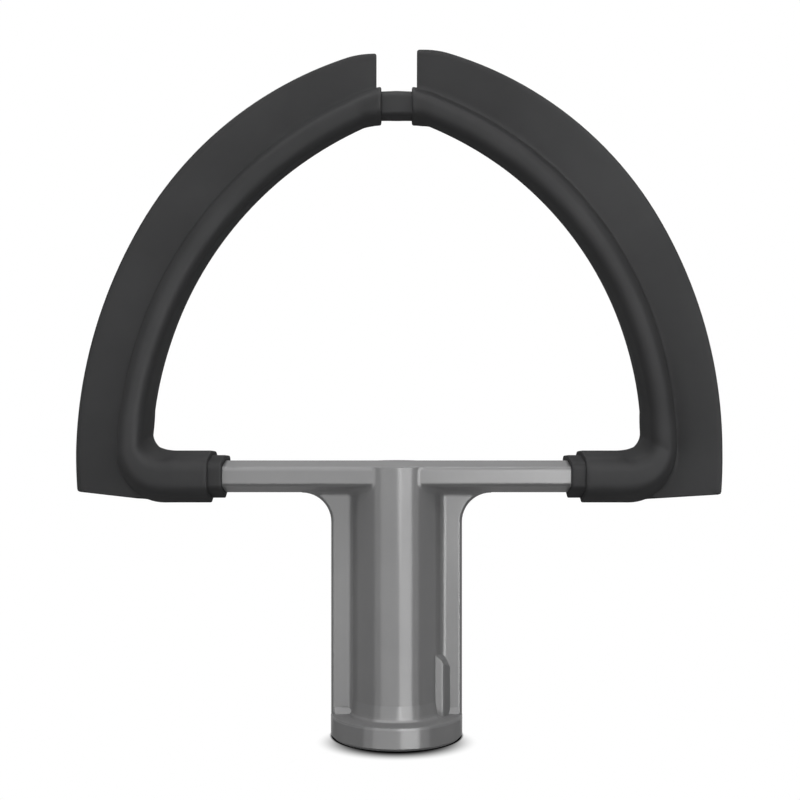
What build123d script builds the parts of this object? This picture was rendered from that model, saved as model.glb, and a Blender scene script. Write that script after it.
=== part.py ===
from build123d import *
from math import asin, atan, cos, degrees, hypot, pi, radians, sin, sqrt, tan
import os

# Flat beater of a stand mixer, standing on the mouth of its hub.
# Z is up along the drive shaft and the arch lies in the XZ plane. Sizes are in millimetres.
# The beater looks the same after half a turn about Z, so one half of the arch is drawn and turned.

# Bore for the drive shaft, and the bayonet channel for the shaft's cross pin.
bore_r = 6.45
bore_depth = 44.0
bore_lead = 0.7
pin_r = 2.4
pin_clearance = 0.2
pin_reach = 10.0
channel_top = 14.2
lock_turn = 38.0
lock_drop = 2.4

# Hub: a tube round the bore, a foot ring at its mouth and two side webs.
tube_wall = 3.25
foot_flange = 4.75
foot_height = 5.05
foot_edge = 0.6
flare = 0.3
flare_height = 3.4
base_fillet = 1.0
web_inset = 0.1
web_thickness = 3.0
web_edge = 0.8
web_foot = 0.8
web_foot_rise = 1.3
web_corner_r = 6.4
junction_fillet = 1.6

# Thicker wall outside the bayonet channel.
housing_wall = 2.2
housing_cover = 1.8
housing_bevel = 1.6
housing_edge = 0.7
housing_dome = 5.7
housing_round = 5.5

# Crossbar: a six-sided cast section, deep and low, with a ridge along its top and bottom.
# Its front and back faces reach further up than down, and the tube stands a little out of them.
bar_z = 56.8
bar_ridge = 3.5
bar_face = 2.75
bar_under = 1.25
bar_inset = 1.2
bar_edge = 1.0

# Layers moulded over the arch. Each ends a little further from the hub than the one under it.
hard_wall = 1.1
soft_wall = 1.0
rounding = 0.6
soft_back = 7.6
hard_back = 10.6
soft_top_x = 3.35

# Arch: one large arc each side, straightened over the top, with an elbow down to the crossbar.
arch_reach = 57.5
arch_r = 81.2
arch_ridge = 1.6
arch_outer = 0.2
arch_inner = 1.0
arch_edge = 0.4
arch_depth = 7.6
arch_bow = 4.4
bow_end = 73.0
tip_centre_x = 2.33
tip_r = 16.0
tip_ridge = 2.2
tip_face = 1.1
tip_depth = 3.9
elbow_in_r = 6.6
elbow_out_r = 10.3
elbow_bulge = 0.9
lead_in = 4.0

# Wiping blade along the outside of each half.
blade_width = 13.6
blade_shoulder_turn = 53.27
blade_shoulder_r = 63.1
blade_end_x = 4.45
blade_heel_rise = 2.02
blade_toe_back = 1.4
blade_root = 2.6
blade_edge = 1.3
blade_lean = 2.9
blade_lean_mid = 2.7
blade_corner = 0.5
blade_over = 3.0

# The moulded layers are lofted through flat-sided stations, close enough to look smooth.
# These are counts of stations, and the angles where the elbow's end and the arch's begin.
elbow_count = 3
arch_count = 8
tip_count = 2
elbow_end = -30.0
arch_start = 6.0

# Hub places that follow from the sizes above.
tube_r = bore_r + tube_wall
foot_r = tube_r + foot_flange
flare_r = tube_r + flare
web_reach = foot_r - web_inset
housing_side = pin_reach + housing_cover
housing_front = housing_side - housing_bevel
bar_depth = tube_r - bar_inset

# Arch places: heights of the layers at the crossbar, then the elbow, the large arc and the tip.
walls = hard_wall + soft_wall
cover = walls / cos(atan((bar_ridge - bar_under) / bar_depth))
arch_z = bar_z + bar_ridge + cover
under_z = bar_z - bar_ridge - cover
arch_half = arch_ridge + walls
elbow_x = arch_reach - arch_half - elbow_in_r + elbow_bulge
elbow_z = arch_z + elbow_in_r
soft_end_x = elbow_x - soft_back
hard_end_x = elbow_x - hard_back
outer_turn = (arch_reach + arch_half - elbow_out_r, under_z + elbow_out_r)
arch_centre_x = arch_reach - arch_r
tip_centre_z = arch_z + sqrt((arch_r - tip_r) ** 2 - (tip_centre_x - arch_centre_x) ** 2)
tip_z = tip_centre_z + tip_r
tip_start = degrees(asin((tip_centre_z - arch_z) / (arch_r - tip_r)))

# Blade places.
blade_r = arch_r + blade_width
blade_shoulder_x = arch_centre_x + blade_r * cos(radians(blade_shoulder_turn))
blade_heel_z = under_z + blade_heel_rise
blade_toe_x = elbow_x - blade_toe_back


def corner(ridge, face, depth, wall, edge, chords):
    """From the ridge round one corner of the six-sided section, as points. The ridge lies on Y = 0."""
    slope = atan((ridge - face) / depth)
    flat = face + wall * (1 - sin(slope)) / cos(slope)
    points = [(ridge + wall / cos(slope), 0)]
    if not chords:
        return points + [(flat, depth + wall)]
    x = flat - edge * tan(pi / 4 - slope / 2)
    y = depth + wall - edge
    turns = [slope + (pi / 2 - slope) * i / chords for i in range(chords + 1)]
    return points + [(x + edge * cos(turn), y + edge * sin(turn)) for turn in turns]


def section(ridge, outer, inner, depth, wall, edge, chords):
    """Six-sided section grown by a wall, as points. X runs across it, Y along its depth."""
    first = corner(ridge, outer, depth, wall, edge, chords)
    last = corner(ridge, inner, depth, wall, edge, chords)
    front = first + [(-x, y) for x, y in reversed(last)]
    return front + [(x, -y) for x, y in reversed(front[1:-1])]


def bow(angle):
    """How far the arch leans out of its plane at an angle of the large arc."""
    return -arch_bow * sin(pi * min(max(angle, 0), bow_end) / bow_end)


def placed(points, x, y, z, angle):
    """Closed wire of a section set across the arch, its X axis pointing outwards at an angle."""
    out = (cos(radians(angle)), 0, sin(radians(angle)))
    along = (-sin(radians(angle)), 0, cos(radians(angle)))
    wire = Wire(Polyline(*points, close=True).edges())
    return Plane(origin=(x, y, z), x_dir=out, z_dir=along) * wire


def mix(a, b, share):
    return a + (b - a) * share


def bar_station(x, wall, chords):
    edge = bar_edge + rounding * wall
    shape = section(bar_ridge, bar_under, bar_face, bar_depth, wall, edge, chords)
    return placed(shape, x, 0, bar_z, -90)


def bar(start, end, wall):
    """A length of the crossbar's section. The bare casting has true roundings along its edges."""
    blank = extrude(Face(bar_station(start, wall, 2 if wall else 0)), end - start, dir=(1, 0, 0))
    if wall:
        return Part() + blank
    corners = [edge for edge in blank.edges().filter_by(Axis.X) if abs(edge.center().Y) > bar_edge]
    return Part() + fillet(corners, bar_edge)


def elbow_station(angle, wall, chords):
    """Section of the elbow in a plane through the inner corner's centre."""
    dx, dz = cos(radians(angle)), sin(radians(angle))
    ox, oz = outer_turn[0] - elbow_x, outer_turn[1] - elbow_z
    along = dx * ox + dz * oz
    reach = along + sqrt(along ** 2 - ox ** 2 - oz ** 2 + elbow_out_r ** 2)
    if elbow_x + reach * dx < outer_turn[0]:
        reach = (elbow_z - under_z) / -dz
    middle = (reach + elbow_in_r) / 2
    share = (angle + 90) / 90
    ridge = (reach - elbow_in_r) / 2 - mix(cover, walls, share)
    outer, inner = mix(bar_under, arch_outer, share), mix(bar_face, arch_inner, share)
    edge = mix(bar_edge, arch_edge, share) + rounding * wall
    shape = section(ridge, outer, inner, mix(bar_depth, arch_depth, share), wall, edge, chords)
    return placed(shape, elbow_x + middle * dx, 0, elbow_z + middle * dz, angle)


def arch_station(angle, wall, chords):
    x = arch_centre_x + arch_r * cos(radians(angle))
    z = arch_z + arch_r * sin(radians(angle))
    depth = mix(arch_depth, tip_depth, angle / tip_start)
    shape = section(arch_ridge, arch_outer, arch_inner, depth, wall, arch_edge + rounding * wall, chords)
    return placed(shape, x, bow(angle), z, angle)


def tip_station(angle, wall, chords):
    """Section where the arch rounds over into its level top."""
    share = (angle - tip_start) / (90 - tip_start)
    x = tip_centre_x + tip_r * cos(radians(angle))
    z = tip_centre_z + tip_r * sin(radians(angle))
    ridge = mix(arch_ridge, tip_ridge, share)
    outer, inner = mix(arch_outer, tip_face, share), mix(arch_inner, tip_face, share)
    shape = section(ridge, outer, inner, tip_depth, wall, arch_edge + rounding * wall, chords)
    return placed(shape, x, bow(angle), z, angle)


def spread(start, end, count):
    return [start + (end - start) * i / count for i in range(round(count) + 1)]


def half_arch(start_x, wall, chords):
    """Right half of the arch, from the crossbar at start_x up to the middle of the top."""
    elbow_angles = spread(-90, elbow_end, elbow_count)
    stations = [bar_station(elbow_x - lead_in, wall, chords)]
    stations += [elbow_station(angle, wall, chords) for angle in elbow_angles]
    arch_angles = spread(arch_start, tip_start, arch_count)[:-1]
    stations += [arch_station(angle, wall, chords) for angle in arch_angles]
    stations += [tip_station(angle, wall, chords) for angle in spread(tip_start, 90, tip_count)]
    end = section(tip_ridge, tip_face, tip_face, tip_depth, wall, arch_edge + rounding * wall, chords)
    stations.append(placed(end, 0, 0, tip_z, 90))
    arch = Part() + Solid.make_loft(stations, True)
    if start_x < elbow_x - lead_in:
        arch += bar(start_x, elbow_x - lead_in, wall)
    return arch


def turned(part):
    """The same part after half a turn about the shaft's axis."""
    return Rot(0, 0, 180) * part


def whole_arch(start_x, wall, chords):
    half = half_arch(start_x, wall, chords)
    return half + turned(half)


def hub():
    """Foot, hollow corner, slight flare and tube as one turned shape."""
    top = bar_z + bar_face
    foot = [(foot_r - foot_edge, 0), (foot_r, foot_edge), (foot_r, foot_height - foot_edge)]
    foot += [(foot_r - foot_edge / 4, foot_height - foot_edge / 4), (foot_r - foot_edge, foot_height)]
    turns = [radians(30 * i) for i in range(4)]
    centre = (flare_r + base_fillet, foot_height + base_fillet)
    neck = [(centre[0] - base_fillet * sin(t), centre[1] - base_fillet * cos(t)) for t in turns]
    neck += [(tube_r, foot_height + flare_height), (tube_r, top), (0, top)]
    outline = Polyline((0, 0), *foot, *neck, close=True)
    return revolve(Plane.XZ * make_face(outline), Axis.Z)


def hollow_corner(start, turn, end):
    """Smooth quarter bend, close to a circle's, between two lines that meet at turn."""
    reach = 4 * (sqrt(2) - 1) / 3
    lean = [tuple(mix(p, q, reach) for p, q in zip(point, turn)) for point in (start, end)]
    return Bezier(start, lean[0], lean[1], end)


def webs():
    """Plate for both side webs and their hollow corners under the crossbar, its free edges rounded."""
    base = foot_height - 1
    low = bar_z - bar_ridge
    turn = low - web_corner_r
    wide = web_reach + web_corner_r
    outline = Polyline((-web_reach, turn), (-web_reach, base), (web_reach, base), (web_reach, turn))
    outline += hollow_corner((wide, low), (web_reach, low), (web_reach, turn))
    outline += Polyline((wide, low), (wide, bar_z), (-wide, bar_z), (-wide, low))
    outline += hollow_corner((-web_reach, turn), (-web_reach, low), (-wide, low))
    plate = extrude(Plane.XZ * make_face(outline), web_thickness / 2, both=True)
    free = [
        edge for edge in plate.edges()
        if abs(edge.center().Y) > web_edge and base < edge.center().Z < low and abs(edge.center().X) > tube_r
    ]
    return fillet(free, web_edge)


def web_feet():
    """Sloped strips where the webs stand on the foot ring."""
    half = web_thickness / 2
    strip = [(-half - web_foot, foot_height), (-half, foot_height + web_foot_rise)]
    outline = Polyline(*strip, *[(-y, z) for y, z in reversed(strip)], close=True)
    return extrude(Plane.YZ * make_face(outline), web_reach - web_edge, both=True)


def junctions(body):
    """Hollow corners where the tube, the webs and the underside of the crossbar meet."""
    low = bar_z - bar_ridge
    chosen = []
    for edge in body.edges():
        middle = edge @ 0.5
        rise = abs((edge % 0.5).Z)
        far = [abs(hypot(point.X, point.Y) - tube_r) for point in (edge @ 0, middle, edge @ 1)]
        at_tube = max(far) < 0.02 and foot_height + flare_height < middle.Z < bar_z + bar_face - 0.05
        at_web = abs(abs(middle.Y) - web_thickness / 2) < 0.01 and abs(middle.X) > tube_r
        under_bar = at_web and rise < 0.1 and low + 0.1 < middle.Z < bar_z - bar_under
        if under_bar or at_tube and (rise > 0.99 or middle.Z > low):
            chosen.append(edge)
    return fillet(chosen, junction_fillet)


def pin_leg(angle, low, high, reach):
    """Straight-sided leg of the bayonet channel, as wide as the cross pin and its clearance."""
    width = 2 * (pin_r + pin_clearance)
    plan = Pos(reach / 2, 0) * Rectangle(reach, width) & Circle(pin_reach)
    return extrude(Pos(0, 0, low) * Rot(0, 0, angle) * plan, high - low)


def wedge(radius, start, end):
    """Flat sector between two angles about the shaft's axis."""
    arc = CenterArc((0, 0), radius, start, end - start)
    return make_face(Line((0, 0), arc @ 0) + arc + Line(arc @ 1, (0, 0)))


def pin_channel():
    """The cross pin goes up the first leg, round to the second and drops into its end."""
    width = 2 * (pin_r + pin_clearance)
    low = channel_top - width
    entry = pin_leg(0, 0, channel_top, pin_reach)
    turn = extrude(Pos(0, 0, low) * wedge(pin_reach, 0, lock_turn), width)
    lock = pin_leg(lock_turn, low - lock_drop, channel_top, pin_reach)
    return entry + turn + lock


def pin_housing():
    """Thicker wall round the bayonet channel, domed into the tube at its top."""
    half = pin_r + pin_clearance + housing_wall
    straight = channel_top - housing_wall / 2
    face = [(0, 0), (0, -half), (housing_front, -half)]
    face += [(housing_side, -web_thickness / 2), (housing_side, 0)]
    front = make_face(Polyline(*face, close=True))
    corners = front.vertices().filter_by(lambda v: v.X > housing_front - 0.1 and v.Y < 0)
    plan = fillet(corners, housing_edge)
    plan += wedge(housing_side, 0, lock_turn + degrees(asin(half / housing_side)))
    block = extrude(Pos(0, 0, foot_height / 2) * plan, channel_top + housing_dome)
    shoulder = (housing_side, straight)
    apex = (tube_r - 0.5, straight + housing_dome)
    dome = Polyline(apex, (0, apex[1]), (0, 0), (housing_side, 0), shoulder)
    over = RadiusArc(shoulder, apex, -housing_round)
    dome += Polyline(*[over @ (i / 3) for i in range(4)])
    return block & revolve(Plane.XZ * make_face(dome), Axis.Z)


def bore():
    """Blind hole for the drive shaft, with a lead-in at its mouth."""
    hole = Cylinder(bore_r, bore_depth, align=(Align.CENTER, Align.CENTER, Align.MIN))
    lead = Cone(bore_r + bore_lead, bore_r, bore_lead, align=(Align.CENTER, Align.CENTER, Align.MIN))
    return hole + lead


def cast_frame():
    """Hub, crossbar and the arch's core, cast as one."""
    body = junctions(hub() + webs() + bar(lead_in - elbow_x, elbow_x - lead_in, 0))
    body += web_feet() + pin_housing()
    body -= bore() + pin_channel()
    return body + whole_arch(elbow_x - lead_in, 0, 0)


def hard_sleeve(frame):
    """Hard plastic moulded round the whole arch, ending as a short collar each side of the crossbar."""
    return whole_arch(hard_end_x, hard_wall, 1) - frame


def blade_station(angle):
    """Section of the blade across the arch. Its X is measured from the large arc's centre."""
    share = sin(pi * min(max(angle, 0), bow_end) / bow_end)
    root_y = bow(angle)
    edge_y = -blade_lean - blade_lean_mid * share
    over = blade_over / (blade_r - arch_r)
    end_y = edge_y + over * (edge_y - root_y)
    inner = elbow_x - lead_in - arch_centre_x
    outer = blade_r + blade_over
    front = [(inner, -blade_root / 2 + root_y), (arch_r, -blade_root / 2 + root_y)]
    front.append((outer, -blade_edge / 2 + end_y))
    back = [(outer, blade_edge / 2 + end_y), (arch_r, blade_root / 2 + root_y)]
    back.append((inner, blade_root / 2 + root_y))
    return placed(front + back, arch_centre_x, 0, arch_z, angle)


def on_arc(x, z, radius, angle):
    return (x + radius * cos(radians(angle)), z + radius * sin(radians(angle)))


def blade_outline():
    """The blade seen from the front, from inside the arch's core out to its wiping edge."""
    inside = arch_ridge / 2
    heel = (arch_centre_x + sqrt(blade_r ** 2 - (blade_heel_z - arch_z) ** 2), blade_heel_z)
    rise = sqrt(blade_r ** 2 - (blade_shoulder_x - arch_centre_x) ** 2)
    shoulder = (blade_shoulder_x, arch_z + rise)
    share = 1 - blade_shoulder_r / blade_r
    centre = (mix(arch_centre_x, shoulder[0], share), mix(arch_z, shoulder[1], share))
    crown = (blade_end_x, centre[1] + sqrt(blade_shoulder_r ** 2 - (blade_end_x - centre[0]) ** 2))
    toe = (blade_toe_x, under_z)
    start = on_arc(arch_centre_x, arch_z, arch_r - inside, arch_start / 2)
    over = on_arc(tip_centre_x, tip_centre_z, tip_r - inside, tip_start)
    rise = sqrt((tip_r - inside) ** 2 - (blade_end_x - tip_centre_x) ** 2)
    end = (blade_end_x, tip_centre_z + rise)
    edges = [
        RadiusArc(crown, shoulder, blade_shoulder_r),
        RadiusArc(shoulder, heel, blade_r),
        Line(heel, toe),
        Polyline(toe, (blade_toe_x, bar_z), (elbow_x, bar_z), start),
        RadiusArc(start, over, inside - arch_r),
        RadiusArc(over, end, inside - tip_r),
        Line(end, crown),
    ]
    return edges, crown, heel


def blade():
    stations = [blade_station(angle) for angle in [-13] + spread(0, bow_end, arch_count - 1) + [80]]
    sheet = Part() + Solid.make_loft(stations, True)
    edges, crown, heel = blade_outline()
    shape = make_face([e for line in edges for e in line.edges()])
    tips = []
    for vertex in shape.vertices():
        if min(hypot(vertex.X - x, vertex.Y - y) for x, y in (crown, heel)) < 0.01:
            tips.append(vertex)
    shape = fillet(tips, blade_corner)
    return sheet & extrude(Plane.XZ * shape, 2 * bar_depth, both=True)


def soft_edge(sleeve, frame):
    """Soft moulding round one half of the arch with its blade, open where the hard sleeve shows."""
    sheath = half_arch(soft_end_x, walls, 1)
    beyond = Pos(0, 0, tip_z) * Box(2 * soft_top_x, 4 * bar_depth, 4 * (tip_ridge + walls))
    return (sheath - beyond) + blade() - sleeve - frame


frame = cast_frame()
sleeve = hard_sleeve(frame)
edge = soft_edge(sleeve, frame)

parts = {
    "cast_frame": frame,
    "hard_sleeve": sleeve,
    "flex_edge_right": edge,
    "flex_edge_left": turned(edge),
}
os.makedirs("parts", exist_ok=True)
for name, part in parts.items():
    export_step(part, f"parts/{name}.step")
    print(name, len(part.solids()), round(part.volume, 1))
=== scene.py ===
# %% [markdown]
# # A flat beater with flexible edges
# A stand mixer's flat beater stands on the mouth of its hub. Its hub and crossbar are cast and coated
# light grey, its arch wears a dark hard sleeve, and each half of the arch carries a soft silicone edge
# with a thin blade that wipes the bowl.
# The CAD model gives the metal its shape, so the metal only needs a finish here. The silicone edges
# and the hard sleeve are made again as smooth skins, with round corners and the soft fillet where the
# blade grows out of its sheath.

# %% Load the CAD model
import bmesh
import bpy
from math import acos, atan, atan2, cos, degrees, hypot, pi, radians, sin, sqrt, tan
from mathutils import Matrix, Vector


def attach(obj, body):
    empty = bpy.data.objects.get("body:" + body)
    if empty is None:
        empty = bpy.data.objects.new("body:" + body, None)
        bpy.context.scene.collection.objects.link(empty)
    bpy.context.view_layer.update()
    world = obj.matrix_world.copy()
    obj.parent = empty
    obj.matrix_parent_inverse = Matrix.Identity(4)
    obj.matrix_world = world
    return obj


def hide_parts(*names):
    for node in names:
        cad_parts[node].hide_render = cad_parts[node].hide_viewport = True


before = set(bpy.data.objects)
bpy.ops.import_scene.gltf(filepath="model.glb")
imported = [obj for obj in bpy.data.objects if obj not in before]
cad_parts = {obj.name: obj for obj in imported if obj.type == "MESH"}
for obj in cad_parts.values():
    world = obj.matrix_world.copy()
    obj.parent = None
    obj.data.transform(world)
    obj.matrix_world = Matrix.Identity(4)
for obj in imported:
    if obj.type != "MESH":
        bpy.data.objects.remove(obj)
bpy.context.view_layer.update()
scene = bpy.context.scene
scene.view_settings.view_transform = "Standard"
print("CAD nodes:", sorted(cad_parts))

# %% [markdown]
# ## Camera
# The picture was taken from straight ahead, a little above the arch's middle, from about 35 cm away.
# That near, the ring at the bottom shows its top and the crossbar its upper slope. The camera stays
# level, and a vertical shift frames the object, as a view camera does, so upright edges stay upright.
# The sizes are in the picture's pixels, and PIXEL says how many metres one of them shows.

# %% Camera
FRAME_PX, FOCAL_PX, SHIFT_X_PX, SHIFT_Y_PX = 800, 1580, 3.4, -77
FLOOR_ROW, CAMERA_ROW = 734.5, 323
PIXEL = 0.22 / 1000
SENSOR = 36.0

camera_data = bpy.data.cameras.new("camera")
camera_data.sensor_width = SENSOR
camera_data.lens = SENSOR * FOCAL_PX / FRAME_PX
camera_data.shift_x = SHIFT_X_PX / FRAME_PX
camera_data.shift_y = SHIFT_Y_PX / FRAME_PX
camera_data.clip_start = 0.01
camera = bpy.data.objects.new("camera", camera_data)
camera.location = (0, -FOCAL_PX * PIXEL, (FLOOR_ROW - CAMERA_ROW) * PIXEL)
camera.rotation_euler = (radians(90), 0, 0)
scene.collection.objects.link(camera)
scene.camera = camera
print("camera", [round(v, 4) for v in camera.location], "lens", round(camera_data.lens, 1))

# %% [markdown]
# ## Node helper
# A material is a small network. This helper adds one node, sets its plain values and joins its inputs
# to the outputs named, which keeps each material readable as a recipe. An input is named by its
# label, or by its number after an underscore where labels repeat.

# %% Node helper
def add(tree, kind, label="", settings=None, **inputs):
    node = tree.nodes.new(kind)
    node.label = label
    for key, value in (settings or {}).items():
        setattr(node, key, value)
    for key, value in inputs.items():
        socket = node.inputs[int(key[1:])] if key[0] == "_" else node.inputs[key.replace("_", " ")]
        if isinstance(value, bpy.types.NodeSocket):
            tree.links.new(value, socket)
        else:
            socket.default_value = value
    return node


print("node helper:", add.__name__)

# %% [markdown]
# ## Backdrop and room
# The backdrop is white for rays that come from the camera, and for mirrored rays as well, so that the
# satin coat shows the white room it stands in. For all other rays the room is a low, even light.

# %% World
ROOM_LIGHT = 0.52

world = bpy.data.worlds.new("room")
scene.world = world
world.use_nodes = True
tree = world.node_tree
tree.nodes.clear()
rays = add(tree, "ShaderNodeLightPath")
room = add(tree, "ShaderNodeBackground", "room light", Color=(1, 1, 1, 1), Strength=ROOM_LIGHT)
white = add(tree, "ShaderNodeBackground", "white backdrop", Color=(1, 1, 1, 1), Strength=1.0)
mirrored = add(tree, "ShaderNodeMath", "camera or glossy", {"operation": "MAXIMUM"},
               _0=rays.outputs["Is Camera Ray"], _1=rays.outputs["Is Glossy Ray"])
seen = add(tree, "ShaderNodeMath", "or transmission", {"operation": "MAXIMUM"},
           _0=mirrored.outputs[0], _1=rays.outputs["Is Transmission Ray"])
both = add(tree, "ShaderNodeMixShader", _0=seen.outputs[0], _1=room.outputs[0], _2=white.outputs[0])
add(tree, "ShaderNodeOutputWorld", Surface=both.outputs[0])
print("world nodes", len(tree.nodes))

# %% [markdown]
# ## Lights
# A satin coat shows the lamps as soft reflections, so each lamp is placed for the reflection it makes.
# Two wide panels behind the camera give every front its even sheen and let the tube's sides fall off
# darker. A tall soft box to the right makes the bright stripe with a crisp edge down the tube. A narrow
# strip makes the crossbar's right half lighter than its left. An overhead panel shines in the slopes
# that face up. These five are only mirrored. The sky is the other way round: it lights whatever faces
# up and isn't mirrored.

# %% Lights
# Azimuth from the camera's side towards +X, height, distance, width, length, radiance, height it faces.
LAMPS = {
    "wide_panel": (0, 0.1, 1.2, 3.9, 2.0, 4.2, 0.1),
    "front_panel": (0, 0.1, 1.1, 1.9, 1.9, 5.2, 0.1),
    "soft_box": (23.0, 0.2, 0.95, 0.54, 1.4, 12.0, 0.2),
    "overhead": (0, 1.35, 0.05, 2.4, 3.0, 9.5, 0.05),
    "sky": (0, 1.6, 0.2, 2.6, 2.6, 0.95, 0.05),
    "bar_strip": (7.0, 0.205, 0.93, 0.165, 0.59, 11.0, 0.205),
}


def soft_light(name, azimuth, height, distance, width, tall, radiance, aim):
    """An area lamp that faces the beater's axis at the height aim."""
    data = bpy.data.lights.new(name, "AREA")
    data.shape = "RECTANGLE"
    data.size, data.size_y = width, tall
    data.energy = radiance * pi * width * tall
    light = bpy.data.objects.new(name, data)
    turn = radians(azimuth)
    light.location = (distance * sin(turn), -distance * cos(turn), height)
    light.rotation_euler = (Vector((0, 0, aim)) - light.location).to_track_quat("-Z", "Y").to_euler()
    scene.collection.objects.link(light)
    return light


for name, numbers in LAMPS.items():
    light = soft_light(name, *numbers)
    light.visible_diffuse = name == "sky"
    light.visible_glossy = name != "sky"
    print(name, [round(v, 3) for v in light.location])

# %% [markdown]
# ## Floor
# The floor is a plain white sheet. The picture has only a short soft shadow in front of the foot and a
# thin dark line where the foot touches. A lamp could cast them, but it would also change the metal, so
# the sheet makes them itself. Seen by the camera it glows just white, dimmed inside a soft ellipse
# that lies a little forward, and by an ambient occlusion term in the gap right under the foot.

# %% Floor
FLOOR_REACH = 3.0
SHADOW_WIDTH, SHADOW_SHIFT, SHADOW_DARK, SHADOW_END = 0.87, 0.006, 0.0086, 0.0154
LINE_REACH, LINE_DARK, LINE_END = 0.0007, 0.45, 0.9
PAPER = (0.5, 0.5, 0.5, 1)


def floor_material():
    material = bpy.data.materials.new("floor_white")
    material.use_nodes = True
    tree = material.node_tree
    tree.nodes.clear()
    rays = add(tree, "ShaderNodeLightPath")
    place = add(tree, "ShaderNodeTexCoord").outputs["Object"]
    ahead = add(tree, "ShaderNodeVectorMath", "shadow falls forward", {"operation": "MULTIPLY_ADD"},
                _0=place, _1=(SHADOW_WIDTH, 1, 1), _2=(0, SHADOW_SHIFT, 0))
    away = add(tree, "ShaderNodeVectorMath", "distance", {"operation": "LENGTH"}, _0=ahead.outputs[0])
    fade = add(tree, "ShaderNodeMapRange", "fade", {"interpolation_type": "SMOOTHSTEP"},
               _1=SHADOW_DARK, _2=SHADOW_END, Value=away.outputs["Value"])
    near = add(tree, "ShaderNodeAmbientOcclusion", "contact line", {"samples": 16}, Distance=LINE_REACH)
    line = add(tree, "ShaderNodeMapRange", _1=LINE_DARK, _2=LINE_END, Value=near.outputs["AO"])
    deep = add(tree, "ShaderNodeMath", "both", {"operation": "MULTIPLY"},
               _0=fade.outputs[0], _1=line.outputs[0])
    glow = add(tree, "ShaderNodeEmission", "white paper", Color=(1, 1, 1, 1), Strength=deep.outputs[0])
    paper = add(tree, "ShaderNodeBsdfDiffuse", Color=PAPER)
    seen = add(tree, "ShaderNodeMixShader", _0=rays.outputs["Is Camera Ray"],
               _1=paper.outputs[0], _2=glow.outputs[0])
    add(tree, "ShaderNodeOutputMaterial", Surface=seen.outputs[0])
    return material


def sheet(name, height, material):
    mesh = bpy.data.meshes.new(name)
    corners = ((-1, -1), (1, -1), (1, 1), (-1, 1))
    mesh.from_pydata([(x * FLOOR_REACH, y * FLOOR_REACH, height) for x, y in corners], [], [(0, 1, 2, 3)])
    flat = bpy.data.objects.new(name, mesh)
    scene.collection.objects.link(flat)
    flat.data.materials.append(material)
    return flat


floor = sheet("floor", 0, floor_material())
floor.visible_glossy = False
print("floor", FLOOR_REACH * 2, "m square")

# %% [markdown]
# Mirrored rays miss the white sheet. They meet a glowing grey one far below it, which is painted shade:
# it stands in for the floor in the beater's own shade, so that a surface that faces down mirrors
# something darker than the room, as it does over a real floor.

# %% Grey sheet below, painted shade for mirrored rays
UNDER_HEIGHT, UNDER_GLOW = -0.85, 0.3

painted_shade_material = bpy.data.materials.new("painted_shade_in_shine")
painted_shade_material.use_nodes = True
tree = painted_shade_material.node_tree
tree.nodes.clear()
# The grey glow is painted shade: the shaded floor as mirrored rays would meet it.
grey = add(tree, "ShaderNodeEmission", "painted floor shade", Color=(1, 1, 1, 1), Strength=UNDER_GLOW)
add(tree, "ShaderNodeOutputMaterial", Surface=grey.outputs[0])
under = sheet("under_floor", UNDER_HEIGHT, painted_shade_material)
under.visible_camera = under.visible_diffuse = under.visible_shadow = False
print("grey sheet at", UNDER_HEIGHT, "m")

# %% [markdown]
# ## Shared surface effects
# Three finishes share two effects, so each is a node group built once. *Skin* is the faint pebble that
# powder coat and moulded surfaces have: two sizes of noise added up as a height. *Handling* is the
# cloudy change in shine that any surface gets from washing and touch. Noise is used for both and not
# a picture, because it has no seams and keeps its scale on every piece.

# %% Shader groups
def new_group(name, inputs, outputs):
    group = bpy.data.node_groups.new(name, "ShaderNodeTree")
    for label, value in inputs.items():
        socket = group.interface.new_socket(label, in_out="INPUT", socket_type="NodeSocketFloat")
        socket.default_value = value
    for label in outputs:
        group.interface.new_socket(label, in_out="OUTPUT", socket_type="NodeSocketFloat")
    place = add(group, "ShaderNodeTexCoord").outputs["Object"]
    return group, place, add(group, "NodeGroupInput").outputs, add(group, "NodeGroupOutput")


def skin_group():
    inputs = {"Pebbles per metre": 2500.0, "Fineness": 3.0, "Coarse share": 0.4}
    group, place, given, out = new_group("skin", inputs, ["Height"])
    finer = add(group, "ShaderNodeMath", "fine scale", {"operation": "MULTIPLY"}, _0=given[0], _1=given[1])
    coarse = add(group, "ShaderNodeTexNoise", "orange peel", Vector=place, Scale=given[0], Detail=2.0)
    fine = add(group, "ShaderNodeTexNoise", "grain", Vector=place, Scale=finer.outputs[0], Detail=1.0)
    both = add(group, "ShaderNodeMix", "blend", _0=given[2], _2=fine.outputs[0], _3=coarse.outputs[0])
    group.links.new(both.outputs[0], out.inputs[0])
    return group


def handling_group():
    inputs = {"Clouds per metre": 45.0, "Low": 0.3, "High": 0.4}
    group, place, given, out = new_group("handling", inputs, ["Value"])
    cloud = add(group, "ShaderNodeTexNoise", "clouds", Vector=place, Scale=given[0],
                Detail=4.0, Roughness=0.6)
    value = add(group, "ShaderNodeMapRange", "range", _1=0.3, _2=0.7, _3=given[1], _4=given[2],
                Value=cloud.outputs[0])
    group.links.new(value.outputs[0], out.inputs[0])
    return group


skin, handling = skin_group(), handling_group()


def placed_group(tree, group, **values):
    node = add(tree, "ShaderNodeGroup", group.name, {"node_tree": group})
    for key, value in values.items():
        node.inputs[key.replace("_", " ")].default_value = value
    return node


print("groups", skin.name, handling.name)

# %% [markdown]
# ## Finishes
# Each finish is a matt body under a thin satin coat, because that is how powder coat and moulded
# rubber look: an even colour, with the lamps showing in the surface only. The body has no shine of its
# own. The handling clouds mix its two close tones and vary the coat's weight, and the skin group pushes
# the normal by a few thousandths of a millimetre.

# %% Finish recipe
TONE_CLOUDS, SHINE_CLOUDS = 60.0, 30.0


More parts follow.
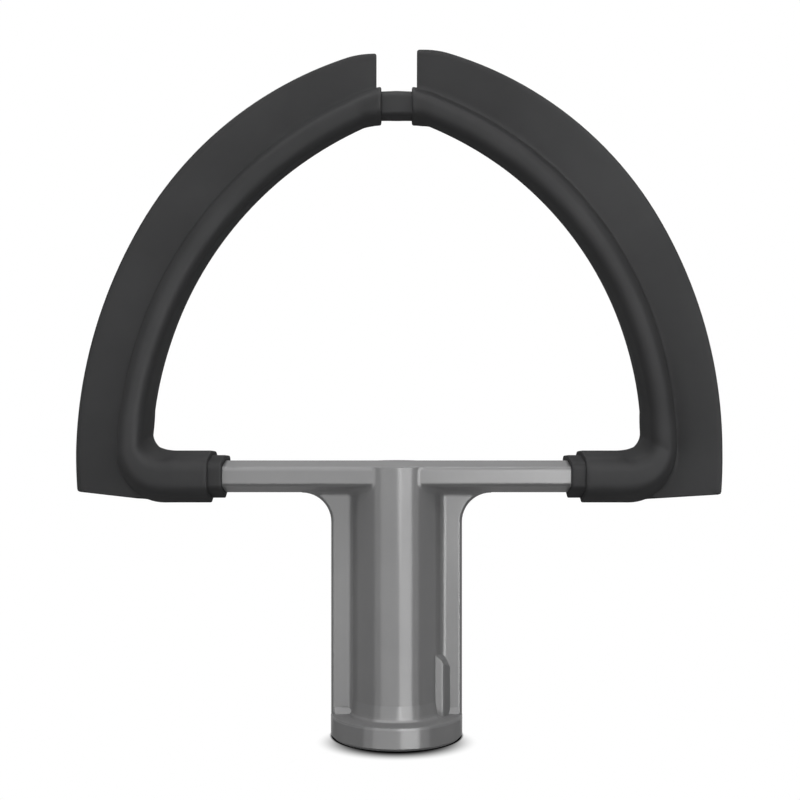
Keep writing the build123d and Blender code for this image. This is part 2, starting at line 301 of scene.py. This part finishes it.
def finish(name, dark, light, coat, blur, pebbles, depth, coarse):
    """dark and light are the two tones, coat its lowest and highest weight, depth the relief in metres."""
    material = bpy.data.materials.new(name)
    material.use_nodes = True
    tree = material.node_tree
    tree.nodes.clear()
    tone = placed_group(tree, handling, Clouds_per_metre=TONE_CLOUDS, Low=0.0, High=1.0)
    colour = add(tree, "ShaderNodeMix", "tone", {"data_type": "RGBA"},
                 _0=tone.outputs[0], _6=(*dark, 1), _7=(*light, 1))
    shine = placed_group(tree, handling, Clouds_per_metre=SHINE_CLOUDS, Low=coat[0], High=coat[1])
    height = placed_group(tree, skin, Pebbles_per_metre=pebbles, Coarse_share=coarse)
    bump = add(tree, "ShaderNodeBump", "relief", Strength=1.0, Distance=depth, Height=height.outputs[0])
    shader = add(tree, "ShaderNodeBsdfPrincipled", name, Base_Color=colour.outputs[2],
                 Normal=bump.outputs[0], Coat_Weight=shine.outputs[0], Coat_Roughness=blur)
    shader.inputs["Specular IOR Level"].default_value = 0
    add(tree, "ShaderNodeOutputMaterial", Surface=shader.outputs[0])
    print(name, "nodes", len(tree.nodes))
    return material

# %% [markdown]
# The casting is powder coated light grey. Its coat is the clearest of the three, so the lamps show in
# it with fairly crisp edges, and its pebble is coarse and shallow, as baked powder leaves it.

# %% Coated cast metal
coated_metal = finish("coated_cast_metal", dark=(0.198, 0.198, 0.200), light=(0.214, 0.214, 0.215),
                      coat=(0.28, 0.33), blur=0.16, pebbles=1400.0, depth=0.4e-5, coarse=0.6)

# %% [markdown]
# The hard sleeve is moulded dark plastic with a fine matt grain. The silicone edges are nearly the same
# charcoal, a shade lighter and with a more blurred sheen, because soft rubber scatters light more.

# %% Hard plastic and silicone
hard_plastic = finish("hard_sleeve_plastic", dark=(0.041, 0.041, 0.042), light=(0.046, 0.046, 0.047),
                      coat=(0.03, 0.045), blur=0.4, pebbles=2600.0, depth=0.8e-5, coarse=0.5)
silicone = finish("soft_silicone", dark=(0.043, 0.043, 0.044), light=(0.049, 0.049, 0.050),
                  coat=(0.035, 0.05), blur=0.48, pebbles=3200.0, depth=1.0e-5, coarse=0.5)

# %% [markdown]
# ## Finish on the casting
# The casting keeps its CAD shape. Only the material in its slots changes.

# %% Dress the casting
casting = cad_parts["cast_frame"]
for place in casting.material_slots:
    place.material = coated_metal
print("cast_frame faces", len(casting.data.polygons))

# %% [markdown]
# ## The soft edge's rule
# A silicone edge is one moulding: a sheath round the arch, and a blade standing out of it. A curve with
# a profile, or a Geometry Nodes sweep, carries one section along a path. This section changes all the
# way: it grows slimmer, its flat faces narrow and widen again, the blade leans, and the ends are
# square. So the skin is made in mesh code, as rings of points along the arch, joined like the hoops of
# a basket. The hard sleeve under it follows the same rule with a thinner wall.
# First come the sizes, in millimetres. A ridge is how far the core reaches from its middle, a face is
# how far its flat front does, and an edge is the rounding between them.

# %% Sizes of the soft edge
BAR_Z, BAR_RIDGE, BAR_FACE, BAR_UNDER, BAR_DEPTH, BAR_EDGE = 56.8, 3.5, 2.75, 1.25, 8.5, 1.0
ARCH_R, ARCH_X, ARCH_RIDGE, ARCH_OUTER, ARCH_INNER = 81.2, -23.7, 1.6, 0.2, 1.0
ARCH_DEPTH, ARCH_EDGE, BOW = 7.6, 0.4, 4.4
TIP_RIDGE, TIP_FACE, TIP_DEPTH, TIP_Z, TIP_R, TIP_ANGLE = 2.2, 1.1, 3.9, 138.25, 16.0, 73.0
ELBOW_X, ELBOW_IN, ELBOW_OUT = 48.1, 6.6, 10.3
SOFT_WALL, HARD_WALL, SOFT_ROUNDING, HARD_ROUNDING = 2.1, 1.1, 0.95, 0.6
SOFT_END_X, HARD_END_X, LEAD_X, UPRIGHT_X, TOP_X = 40.5, 37.5, 44.1, 5.5, 3.35

COVER = SOFT_WALL / cos(atan((BAR_RIDGE - BAR_UNDER) / BAR_DEPTH))
ARCH_Z = BAR_Z + BAR_RIDGE + COVER
UNDER_Z = BAR_Z - BAR_RIDGE - COVER
ELBOW_Z = ARCH_Z + ELBOW_IN
OUT_X, OUT_Z = ARCH_X + ARCH_R + ARCH_RIDGE + SOFT_WALL - ELBOW_OUT, UNDER_Z + ELBOW_OUT
TIP_CZ = TIP_Z - TIP_R
TIP_CX = ARCH_X + sqrt((ARCH_R - TIP_R) ** 2 - (TIP_CZ - ARCH_Z) ** 2)
TIP_START = degrees(atan2(TIP_CZ - ARCH_Z, TIP_CX - ARCH_X))
print("arch centre", ARCH_X, round(ARCH_Z, 2), "tip centre", round(TIP_CX, 2), round(TIP_CZ, 2))

# %% [markdown]
# The arch bows out of its plane between its ends, and a wave gives that bow. The trim makes the inner
# ridge a little slimmer than a plain sweep would, most of all by the elbow, as the picture shows it.

# %% Bow and trim
INNER_TRIM, ELBOW_TRIM, ELBOW_PACE = 0.36, 0.8, 1.5
TRIM_START, TRIM_RUN, TRIM_FADE = 2, 18, 20


def mix(a, b, share):
    return a + (b - a) * share


def ease(share):
    share = min(1.0, max(0.0, share))
    return share * share * (3 - 2 * share)


def wave(angle):
    return sin(pi * min(max(angle, 0), TIP_ANGLE) / TIP_ANGLE)


def trim(angle):
    depth = mix(ELBOW_TRIM, INNER_TRIM, ease((angle - TRIM_START) / TRIM_RUN))
    return depth * (1 - ease((angle - TRIM_FADE) / (TIP_START - TRIM_FADE)))


def tip_bow(x):
    """The bow dies away smoothly between the start of the tip and the end of the soft edge."""
    first = TIP_CX + TIP_R * cos(radians(TIP_START))
    run = first - TOP_X
    p = min(1.0, max(0.0, (first - x) / run))
    lean = -BOW * pi / TIP_ANGLE * cos(pi * TIP_START / TIP_ANGLE) / (ARCH_R * radians(1))
    return -BOW * wave(TIP_START) * (2 * p ** 3 - 3 * p * p + 1) + lean * run * (p ** 3 - 2 * p * p + p)


print("trim at 2, 20 and 50 degrees", [round(trim(angle), 2) for angle in (2, 20, 50)])

# %% [markdown]
# Each ring sits on a station: where the sheath's inner and outer ridges lie, how far the section
# reaches in depth, and how wide its front face is. The crossbar is straight, the elbow turns round its
# own centre, the arch is one large arc, and the tip is a tight one. Near the top the stations stand
# upright, so that the sheath and the blade end square.

# %% Stations
def polar(x, z, r, angle):
    return (x + r * cos(radians(angle)), z + r * sin(radians(angle)))


def station(inner, outer, y, faces, depth, edge):
    return {"in": inner, "out": outer, "y": y, "faces": faces, "depth": depth, "edge": edge}


def bar_station(x):
    return station((x, ARCH_Z), (x, UNDER_Z), 0, (BAR_UNDER, BAR_FACE), BAR_DEPTH, BAR_EDGE)


def elbow_station(angle):
    dx, dz = cos(radians(angle)), sin(radians(angle))
    ox, oz = OUT_X - ELBOW_X, OUT_Z - ELBOW_Z
    along = dx * ox + dz * oz
    reach = along + sqrt(along ** 2 - ox ** 2 - oz ** 2 + ELBOW_OUT ** 2)
    if ELBOW_X + reach * dx < OUT_X:
        reach = (ELBOW_Z - UNDER_Z) / -dz
    share = (angle + 90) / 90
    faces = (mix(BAR_UNDER, ARCH_OUTER, share), mix(BAR_FACE, ARCH_INNER, share))
    inner = polar(ELBOW_X, ELBOW_Z, ELBOW_IN + ELBOW_TRIM * ease(share * ELBOW_PACE), angle)
    outer = polar(ELBOW_X, ELBOW_Z, reach, angle)
    depth, edge = mix(BAR_DEPTH, ARCH_DEPTH, share), mix(BAR_EDGE, ARCH_EDGE, share)
    return station(inner, outer, 0, faces, depth, edge)


def arch_station(inner_angle, outer_angle):
    half = ARCH_RIDGE + SOFT_WALL
    angle = (inner_angle + outer_angle) / 2
    inner = polar(ARCH_X, ARCH_Z, ARCH_R - half + trim(angle), inner_angle)
    outer = polar(ARCH_X, ARCH_Z, ARCH_R + half, outer_angle)
    depth = mix(ARCH_DEPTH, TIP_DEPTH, max(angle, 0) / TIP_START)
    return station(inner, outer, -BOW * wave(angle), (ARCH_OUTER, ARCH_INNER), depth, ARCH_EDGE)


def tip_station(inner_angle, outer_angle):
    share = ((inner_angle + outer_angle) / 2 - TIP_START) / (90 - TIP_START)
    half = mix(ARCH_RIDGE, TIP_RIDGE, share) + SOFT_WALL
    faces = (mix(ARCH_OUTER, TIP_FACE, share), mix(ARCH_INNER, TIP_FACE, share))
    inner = polar(TIP_CX, TIP_CZ, TIP_R - half, inner_angle)
    outer = polar(TIP_CX, TIP_CZ, TIP_R + half, outer_angle)
    return station(inner, outer, tip_bow((inner[0] + outer[0]) / 2), faces, TIP_DEPTH, ARCH_EDGE)


def upright_angles(x):
    half = TIP_RIDGE + SOFT_WALL
    return [degrees(acos(max(0.0, x - TIP_CX) / (TIP_R + side * half))) for side in (-1, 1)]


def upright_station(x):
    made = tip_station(*upright_angles(x))
    made["in"], made["out"] = (x, made["in"][1]), (x, made["out"][1])
    return made


print("elbow's outer corner", [round(v, 2) for v in elbow_station(-45)["out"]])

# %% [markdown]
# The blade reaches from the sheath's outer ridge to its wiping edge. Its outline is a straight heel,
# one large arc up the side, and a tighter arc over the shoulder to a nearly level top. It leaves the
# bowed sheath and leans back towards the beater's plane, so its edge is nearly flat while the arch
# bows. It is thick at the root and thin at the edge.

# %% Blade outline
BLADE_R, BLADE_END, BLADE_TOP, HEEL_Z, TOE_X = 94.8, 4.45, 150.18, 53.15, 46.7
SIDE_X, SIDE_Z, SIDE_R, CROWN_TURN, CROWN_R = -31.33, 61.07, 102.39, 30.74, 81.06
BLADE_ROOT, BLADE_EDGE, LEAN, LEAN_MID = 2.6, 1.3, 2.9, 2.7
SOFTENING, END_ROUND, LEAST_RISE = 0.8, 0.5, 0.3
HEEL_X = SIDE_X + sqrt(SIDE_R ** 2 - (HEEL_Z - SIDE_Z) ** 2)
SHOULDER_X, SHOULDER_Z = polar(SIDE_X, SIDE_Z, SIDE_R, CROWN_TURN)
CROWN_X, CROWN_Z = polar(SIDE_X, SIDE_Z, SIDE_R - CROWN_R, CROWN_TURN)


def to_circle(p, d, cx, cz, r):
    """How far it is from p in direction d to the circle."""
    px, pz = p[0] - cx, p[1] - cz
    b = px * d[0] + pz * d[1]
    return -b + sqrt(b * b - px * px - pz * pz + r * r)


def soft_min(a, b):
    """The smaller of two lengths, with a rounded change from one to the other."""
    gap = max(0.0, SOFTENING - abs(a - b)) / SOFTENING
    return min(a, b) - gap * gap * SOFTENING / 4


def blade_length(p, d):
    """How far the blade goes from p in direction d before it meets its outline."""
    if p[0] < TOE_X and p[1] < BAR_Z:
        return 0.0
    length = to_circle(p, d, SIDE_X, SIDE_Z, SIDE_R)
    if p[1] > ARCH_Z and p[0] + length * d[0] < SHOULDER_X:
        length = to_circle(p, d, CROWN_X, CROWN_Z, CROWN_R)
        length = soft_min(length, (BLADE_TOP - p[1]) / max(d[1], LEAST_RISE))
    slope = (HEEL_Z - UNDER_Z) / (HEEL_X - TOE_X)
    drop = d[1] - slope * d[0]
    if drop < -1e-6:
        heel = (UNDER_Z + slope * (p[0] - TOE_X) - p[1]) / drop
        length = soft_min(length, heel)
    if p[0] < BLADE_END + END_ROUND:
        length -= END_ROUND - sqrt(max(0.0, END_ROUND ** 2 - (BLADE_END + END_ROUND - p[0]) ** 2))
    return max(0.0, length)


def blade_middle(x, z):
    """The blade's middle depth and half thickness at a point of its plane."""
    r, angle = hypot(x - ARCH_X, z - ARCH_Z), degrees(atan2(z - ARCH_Z, x - ARCH_X))
    share = max(0.0, (r - ARCH_R) / (BLADE_R - ARCH_R))
    root, edge = -BOW * wave(angle), -LEAN - LEAN_MID * wave(angle)
    return mix(root, edge, share), mix(BLADE_ROOT, BLADE_EDGE, min(share, 1)) / 2


print("heel", round(HEEL_X, 2), HEEL_Z, "shoulder", round(SHOULDER_X, 2), round(SHOULDER_Z, 2))

# %% [markdown]
# The sheath's section is a flattened hexagon: a ridge outside and one inside, and a narrow flat face
# front and back. Its corners are rounded, each with a row of points along its curve.

# %% The sheath's section
CORNER_STEPS = 7


def corner_points(half, face, depth, wall, edge):
    """The slope of one side of the section, and the points round the corner to its flat face."""
    slope = atan((half - face) / depth)
    cut = edge * tan(pi / 4 - slope / 2)
    cx, cy = face + wall * (1 - sin(slope)) / cos(slope) - cut, depth + wall - edge
    turns = [slope + (pi / 2 - slope) * i / CORNER_STEPS for i in range(CORNER_STEPS + 1)]
    return slope, [(cx + edge * cos(t), cy + edge * sin(t)) for t in turns]


def quarters(s, half, wall, rounding):
    """For the outer and the inner side: how far the ridge stands out, and the corner's points."""
    edge = s["edge"] + rounding * wall
    made = []
    for face in s["faces"]:
        slope, bend = corner_points(half, face, s["depth"], wall, edge)
        made.append((half + wall / cos(slope), bend))
    return made


print("corner points", len(corner_points(ARCH_RIDGE, ARCH_INNER, ARCH_DEPTH, SOFT_WALL, ARCH_EDGE)[1]))

# %% [markdown]
# One ring goes from the blade's edge down its one side, through a small fillet onto the sheath, round
# the sheath's two corners to its inner ridge, and back up the other side. Points are first placed by u,
# the distance outwards from the sheath's middle, and v, the depth. A ring with no blade lays the same
# points on the sheath, so every ring has as many points and the rings join up.

# %% Rings
ROOT_GAP, FOOT_GAP, FLAT_START, FLAT_STEP = 0.5, 0.45, 0.4, 0.12
FULL_THICKNESS, FULL_HEIGHT, LAST_GAP, LEAST_GAP = 0.8, 0.3, 0.6, 0.4
BLADE_STEPS = (0.92, 0.8, 0.65, 0.5, 0.35, 0.2, 0.1, 0.03, 0.0)
EDGE_POINTS = ((0.1, 0.0, 0.45), (0.2, 0.12, 0.8), (0.3, 0.35, 1.0))
FILLET_POINTS = ((1.55, 0.24, 1.03), (1.65, 0.06, 1.12), (1.75, 0.0, 1.22))
OUTER_STEPS, INNER_STEPS = (0, 0.3, 0.65), (0.3, 0.6, 0.85, 0.97)


def ring(s, wall, bladed=True, rounding=SOFT_ROUNDING):
    ix, iz = s["in"]
    ox, oz = s["out"]
    size = hypot(ox - ix, oz - iz)
    dx, dz = (ox - ix) / size, (oz - iz) / size
    cx, cz = (ix + ox) / 2, (iz + oz) / 2
    (top, outer), (low, inner) = quarters(s, size / 2 - SOFT_WALL, wall, rounding)
    drop = (top - outer[0][0]) / outer[0][1]
    root = (cx + top * dx, cz + top * dz)
    length = blade_length(root, (dx, dz)) if bladed else 0.0
    grown, risen = ease(length / FULL_THICKNESS), ease(length / FULL_HEIGHT)

    def sheath(v):
        return (top - drop * abs(v), v)

    def blade(v_flat, t, side, share=1.0):
        """Point t beyond the ridge on the blade, or the same point laid on the sheath at v_flat."""
        middle, half_thick = blade_middle(root[0] + t * dx, root[1] + t * dz)
        flat = sheath(v_flat)
        v = middle - s["y"] + side * (half_thick * share)
        return (mix(flat[0], top + t, risen), mix(flat[1], v, grown))

    def half_ring(side):
        points = [blade(v * side, length - below, side, share) for v, below, share in EDGE_POINTS]
        for i, share in enumerate(BLADE_STEPS):
            t = mix(ROOT_GAP, max(length - LAST_GAP, ROOT_GAP), share)
            t = min(t, max(length - LEAST_GAP, 0))
            points.append(blade((FLAT_START + FLAT_STEP * i) * side, t, side))
        for v_flat, rise, swell in FILLET_POINTS:
            v = blade(v_flat * side, 0.0, side, swell)[1]
            points.append((sheath(v)[0] + min(rise, length), v))
        foot = points[-1][1] + FOOT_GAP * side
        points += [sheath(mix(foot, side * outer[0][1], share)) for share in OUTER_STEPS]
        points += [(u, side * v) for u, v in outer]
        points += [(-u, side * v) for u, v in reversed(inner)]
        points += [(mix(-inner[0][0], -low, k), side * mix(inner[0][1], 0, k)) for k in INNER_STEPS]
        return points

    loop = [blade(0, length, 0)] + half_ring(1) + [(-low, 0)] + half_ring(-1)[::-1]
    return [(cx + u * dx, s["y"] + v, cz + u * dz) for u, v in loop]


print("points in a ring", len(ring(bar_station(SOFT_END_X), SOFT_WALL, bladed=False)))

# %% [markdown]
# The rings of the soft edge run from its end by the crossbar, through the elbow and up the arch to its
# end at the top. They lie closer together where the outline turns. The blade's square end is two rings
# at one place, one with the blade and one without. At both ends the skin draws in over a few tenths of
# a millimetre, which rounds the rim.

# %% Rings of the soft edge
RIM = ((0, 0.4), (0.12, 0.12), (0.4, 0))
ELBOW_LAST, ARCH_FIRST = -30, 6.0
TOE_RINGS = (41.6, 43.0, 44.5, 46.0, 46.7, 47.4)
TOP_RINGS = (5.2, 4.95, 4.75, 4.6, 4.5, BLADE_END)
BARE_TOP_X = 4.0


def spread(start, end, count):
    return [start + (end - start) * i / count for i in range(count + 1)]


def elbow_to_arch():
    """Stations from the elbow's last angle to the arch's first, their sizes changing evenly."""
    first, made = elbow_station(ELBOW_LAST), []
    outer = degrees(atan2(first["out"][1] - ARCH_Z, first["out"][0] - ARCH_X))
    inner = degrees(atan2(first["in"][1] - ARCH_Z, first["in"][0] - ARCH_X))
    for share in spread(0, 1, 8)[1:]:
        s = arch_station(mix(inner, ARCH_FIRST, share), mix(outer, ARCH_FIRST, share))
        s["faces"] = tuple(mix(a, b, share) for a, b in zip(first["faces"], s["faces"]))
        s["depth"], s["edge"] = mix(first["depth"], s["depth"], share), mix(first["edge"], s["edge"], share)
        made.append(s)
    return made


def outer_rings():
    places = [bar_station(x) for x in TOE_RINGS]
    places += [elbow_station(a) for a in spread(-90, -42, 16) + spread(-41, -32, 9) + [ELBOW_LAST]]
    places += elbow_to_arch()
    places += [arch_station(a, a) for a in spread(ARCH_FIRST, TIP_START, 40)[1:]]
    inner, outer = upright_angles(UPRIGHT_X)
    for share in spread(0, 1, 10)[1:]:
        places.append(tip_station(mix(TIP_START, inner, share), mix(TIP_START, outer, share)))
    places += [upright_station(x) for x in TOP_RINGS]
    rings = [ring(bar_station(SOFT_END_X + x), SOFT_WALL - inset, bladed=False) for x, inset in RIM]
    rings += [ring(place, SOFT_WALL) for place in places]
    rings += [ring(upright_station(x), SOFT_WALL, bladed=False) for x in (BLADE_END, BARE_TOP_X)]
    for x, inset in reversed(RIM):
        rings.append(ring(upright_station(TOP_X + x), SOFT_WALL - inset, bladed=False))
    return rings


print("rings outside", len(outer_rings()))

# %% [markdown]
# Under the sheath lies the hard sleeve, and under that the metal. Both need fewer stations. The soft
# skin turns in at its ends and comes back along the hard sleeve, so it is a closed shell with a real
# wall. The hard sleeve runs from one collar over the top to the other: half a turn of the first half's
# rings makes the second half's. At the top, where it shows, its lower front face is wider.

# %% Rings of the inner layers
HARD_RIM = ((0, 0.3), (0.09, 0.09), (0.3, 0))
COLLAR_LEAD, RING_GAP, MIDDLE_X = 0.6, 0.02, 0.01
ROUTE_TIP, BARE_X, BARE_FACE = 74, 4.5, 1.65


def route(start_x, end_x):
    """Stations from the crossbar to the top, for the plain layers under the soft edge."""
    places = [bar_station(x) for x in (start_x, LEAD_X)]
    places += [elbow_station(a) for a in spread(-90, ELBOW_LAST, 10)]
    places += [arch_station(a, a) for a in spread(ARCH_FIRST, TIP_START, 24)]
    places += [tip_station(a, a) for a in spread(TIP_START, ROUTE_TIP, 4)[1:]]
    return places + [upright_station(x) for x in (UPRIGHT_X, TOP_X, end_x)]


def inner_rings():
    places = route(SOFT_END_X, TOP_X + RING_GAP)
    return [ring(place, HARD_WALL, bladed=False) for place in reversed(places)]


def turned_ring(loop):
    """The same ring after half a turn, its points in the order that the first half's rings have."""
    loop = [(-x, -y, z) for x, y, z in loop]
    return loop[:1] + loop[:0:-1]


def hard_rings():
    outside = []
    for x, inset in HARD_RIM:
        outside.append(ring(bar_station(HARD_END_X + x), HARD_WALL - inset, False, HARD_ROUNDING))
    for place in route(HARD_END_X + COLLAR_LEAD, MIDDLE_X):
        if place["out"][0] < BARE_X:
            place["faces"] = (TIP_FACE, BARE_FACE)
        outside.append(ring(place, HARD_WALL, False, HARD_ROUNDING))
    inside = [ring(place, 0.0, bladed=False) for place in route(HARD_END_X, MIDDLE_X)]
    outside += [turned_ring(loop) for loop in reversed(outside)]
    inside += [turned_ring(loop) for loop in reversed(inside)]
    return outside + inside[::-1]


print("rings of the hard sleeve", len(hard_rings()))

# %% [markdown]
# ## From rings to a skin
# Each ring is joined to the next, and the last to the first, which closes the shell. Points that fell
# together, such as the blade's where there is no blade yet, are merged, and the faces are turned to
# point outwards. Edges sharper than 40 degrees stay crisp, the rest is smooth.

# %% Skin maker
CRISP = 40


def skin_piece(name, rings, turn=1):
    n = len(rings[0])
    points = [(turn * x / 1000, turn * y / 1000, z / 1000) for loop in rings for x, y, z in loop]
    faces = []
    for i in range(len(rings)):
        a, b = i * n, (i + 1) % len(rings) * n
        faces += [(a + k, a + (k + 1) % n, b + (k + 1) % n, b + k) for k in range(n)]
    mesh = bpy.data.meshes.new(name)
    mesh.from_pydata(points, [], faces)
    mesh.validate()
    piece = bpy.data.objects.new(name, mesh)
    scene.collection.objects.link(piece)
    return piece


def tidy_mesh(mesh):
    work = bmesh.new()
    work.from_mesh(mesh)
    bmesh.ops.remove_doubles(work, verts=work.verts, dist=2e-6)
    bmesh.ops.dissolve_degenerate(work, edges=work.edges, dist=1e-6)
    bmesh.ops.recalc_face_normals(work, faces=work.faces)
    work.to_mesh(mesh)
    work.free()
    mesh.shade_smooth()
    mesh.set_sharp_from_angle(angle=radians(CRISP))


print("edges stay crisp above", CRISP, "degrees")

# %% [markdown]
# ## The two silicone edges
# Both halves of the arch carry the same moulding. The left one is the right one after half a turn about
# the beater's axis, as on the real beater, whose two sides are alike when it spins.

# %% Silicone edges
soft_rings = outer_rings() + inner_rings()
for side, turn in (("right", 1), ("left", -1)):
    piece = skin_piece(f"silicone_edge_{side}", soft_rings, turn)
    tidy_mesh(piece.data)
    piece.data.materials.append(silicone)
    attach(piece, "root")
    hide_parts(f"flex_edge_{side}")
    print(piece.name, "faces", len(piece.data.polygons))

# %% [markdown]
# ## The hard sleeve
# It shows only as a collar at each side of the crossbar and as a short bare stretch between the two
# silicone edges at the top.

# %% Hard sleeve
sleeve = skin_piece("hard_sleeve_skin", hard_rings())
tidy_mesh(sleeve.data)
sleeve.data.materials.append(hard_plastic)
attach(sleeve, "root")
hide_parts("hard_sleeve")
print(sleeve.name, "faces", len(sleeve.data.polygons))
